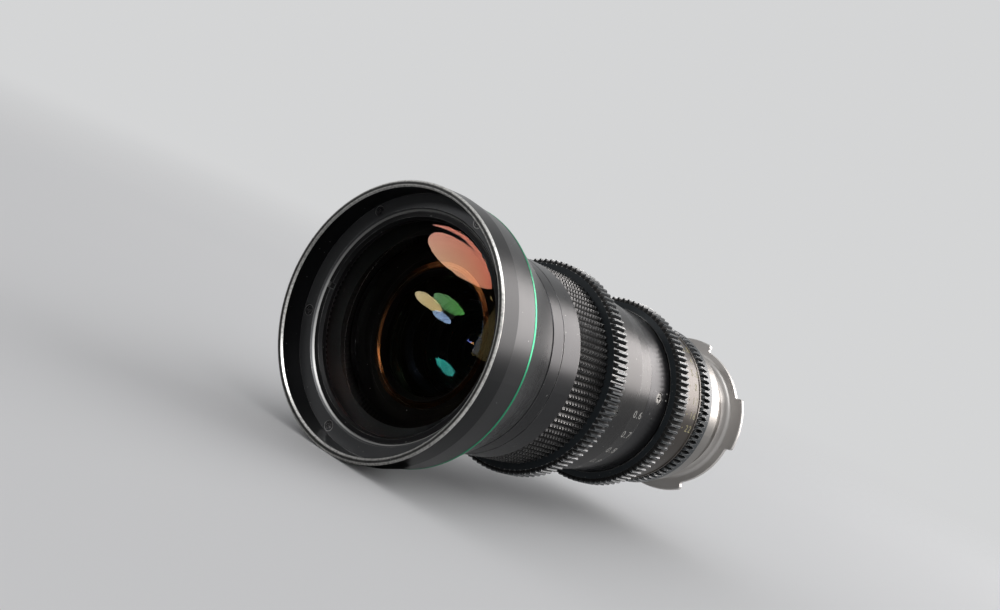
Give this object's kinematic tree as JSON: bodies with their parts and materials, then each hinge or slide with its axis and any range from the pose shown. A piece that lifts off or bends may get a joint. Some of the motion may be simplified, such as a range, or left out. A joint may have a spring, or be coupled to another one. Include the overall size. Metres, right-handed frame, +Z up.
{
  "type": "cinema zoom lens",
  "caption": "Cinema zoom lens: wide hood, knurled focus grip, geared focus, zoom and iris rings that drive inner cells and iris blades, and a bright tabbed camera mount.",
  "frame": {"origin": "on the optical axis, in the plane of the camera mount's seat", "axes": "+Y along the optical axis from the front glass towards the camera; +Z up with the lens level; +X to the side that carries the index marks"},
  "size_m": [0.1, 0.208, 0.1],
  "materials": {
    "black_anodised": "black anodised, satin",
    "black_gear": "black anodised, worn bright on the tooth lands",
    "black_inner": "matte black anodised",
    "green_ring": "emerald anodised",
    "bright_mount": "satin, turned",
    "bright_barrel": "satin, turned",
    "screw_steel": "polished heads",
    "blackened_screw": "blackened",
    "cam_brass": "turned",
    "blade_steel": "blued",
    "coated_glass": "coated"
  },
  "bodies": {
    "fixed_barrel": {"hood": "black_anodised", "front_bezel": "black_anodised", "bezel_screws": "blackened_screw", "front_cell": "black_inner", "front_glass": "coated_glass", "front_retainer": "black_inner", "second_glass": "coated_glass", "second_retainer": "black_inner", "colour_ring": "green_ring", "shoulder": "black_anodised", "main_barrel": "black_inner", "name_band": "black_anodised", "guide_tube": "black_inner", "index_barrel": "black_anodised", "index_screws": "screw_steel", "iris_housing": "black_inner", "iris_cover": "black_inner", "relay_cell": "black_inner", "relay_glass_front": "coated_glass", "relay_glass_middle": "coated_glass", "rear_glass": "coated_glass", "rear_retainer": "black_inner", "rear_barrel": "bright_barrel", "neck_screws": "blackened_screw", "flange_shim": "cam_brass", "mount_flange": "bright_mount"},
    "focus_ring": {"focus_grip": "black_anodised", "focus_gear": "black_gear", "focus_sleeve": "black_anodised", "focus_sleeve_screws": "screw_steel", "focus_cam": "cam_brass", "focus_key": "screw_steel"},
    "focus_group": {"focus_cell": "black_inner", "focus_glass_front": "coated_glass", "focus_glass_rear": "coated_glass", "focus_pins": "screw_steel"},
    "zoom_ring_body": {"zoom_ring": "black_anodised", "zoom_gear": "black_gear", "zoom_cam": "cam_brass", "zoom_key": "screw_steel"},
    "variator_group": {"variator_cell": "black_inner", "variator_glass": "coated_glass", "variator_pins": "screw_steel"},
    "compensator_group": {"compensator_cell": "black_inner", "compensator_glass": "coated_glass", "compensator_pins": "screw_steel"},
    "iris_ring_body": {"iris_ring": "black_anodised", "iris_gear": "black_gear", "iris_cam_ring": "cam_brass", "iris_key": "screw_steel"},
    "iris_blade_body_1": {"iris_blade_1": "blade_steel"},
    "iris_blade_body_2": {"iris_blade_2": "blade_steel"},
    "iris_blade_body_3": {"iris_blade_3": "blade_steel"},
    "iris_blade_body_4": {"iris_blade_4": "blade_steel"},
    "iris_blade_body_5": {"iris_blade_5": "blade_steel"},
    "iris_blade_body_6": {"iris_blade_6": "blade_steel"}
  },
  "joints": [
    {"name": "focus_turn", "type": "hinge", "parent": "fixed_barrel", "child": "focus_ring", "pos_m": [0, -0.1146, 0], "axis": [0, 1, 0], "range_deg": [-150, 0]},
    {"name": "focus_travel", "type": "slide", "parent": "fixed_barrel", "child": "focus_group", "axis": [0, 1, 0], "range_m": [-0.01, 0]},
    {"name": "zoom_turn", "type": "hinge", "parent": "fixed_barrel", "child": "zoom_ring_body", "pos_m": [0, -0.0555, 0], "axis": [0, 1, 0], "range_deg": [0, 100]},
    {"name": "variator_travel", "type": "slide", "parent": "fixed_barrel", "child": "variator_group", "axis": [0, 1, 0], "range_m": [0, 0.03]},
    {"name": "compensator_travel", "type": "slide", "parent": "fixed_barrel", "child": "compensator_group", "axis": [0, 1, 0], "range_m": [-0.007, 0]},
    {"name": "iris_turn", "type": "hinge", "parent": "fixed_barrel", "child": "iris_ring_body", "pos_m": [0, -0.0349, 0], "axis": [0, 1, 0], "range_deg": [-14, 46]},
    {"name": "iris_blade_pivot_1", "type": "hinge", "parent": "fixed_barrel", "child": "iris_blade_body_1", "pos_m": [0.02028, -0.0385, 0.00544], "axis": [0, 1, 0], "range_deg": [-6.31, 20.71]},
    {"name": "iris_blade_pivot_2", "type": "hinge", "parent": "fixed_barrel", "child": "iris_blade_body_2", "pos_m": [0.00544, -0.0385, 0.02028], "axis": [0, 1, 0], "range_deg": [-6.31, 20.71]},
    {"name": "iris_blade_pivot_3", "type": "hinge", "parent": "fixed_barrel", "child": "iris_blade_body_3", "pos_m": [-0.01485, -0.0385, 0.01485], "axis": [0, 1, 0], "range_deg": [-6.31, 20.71]},
    {"name": "iris_blade_pivot_4", "type": "hinge", "parent": "fixed_barrel", "child": "iris_blade_body_4", "pos_m": [-0.02028, -0.0385, -0.00544], "axis": [0, 1, 0], "range_deg": [-6.31, 20.71]},
    {"name": "iris_blade_pivot_5", "type": "hinge", "parent": "fixed_barrel", "child": "iris_blade_body_5", "pos_m": [-0.00544, -0.0385, -0.02028], "axis": [0, 1, 0], "range_deg": [-6.31, 20.71]},
    {"name": "iris_blade_pivot_6", "type": "hinge", "parent": "fixed_barrel", "child": "iris_blade_body_6", "pos_m": [0.01485, -0.0385, -0.01485], "axis": [0, 1, 0], "range_deg": [-6.31, 20.71]}
  ],
  "couplings": [
    {"joint": "focus_travel", "follows": "focus_turn", "m_per_rad": 0.0038197},
    {"joint": "variator_travel", "follows": "zoom_turn", "m_per_rad": 0.017189},
    {"joint": "compensator_travel", "follows": "zoom_turn", "m_per_rad": -0.0040107},
    {"joint": "iris_blade_pivot_1", "follows": "iris_turn", "ratio": 0.45},
    {"joint": "iris_blade_pivot_2", "follows": "iris_turn", "ratio": 0.45},
    {"joint": "iris_blade_pivot_3", "follows": "iris_turn", "ratio": 0.45},
    {"joint": "iris_blade_pivot_4", "follows": "iris_turn", "ratio": 0.45},
    {"joint": "iris_blade_pivot_5", "follows": "iris_turn", "ratio": 0.45},
    {"joint": "iris_blade_pivot_6", "follows": "iris_turn", "ratio": 0.45}
  ]
}
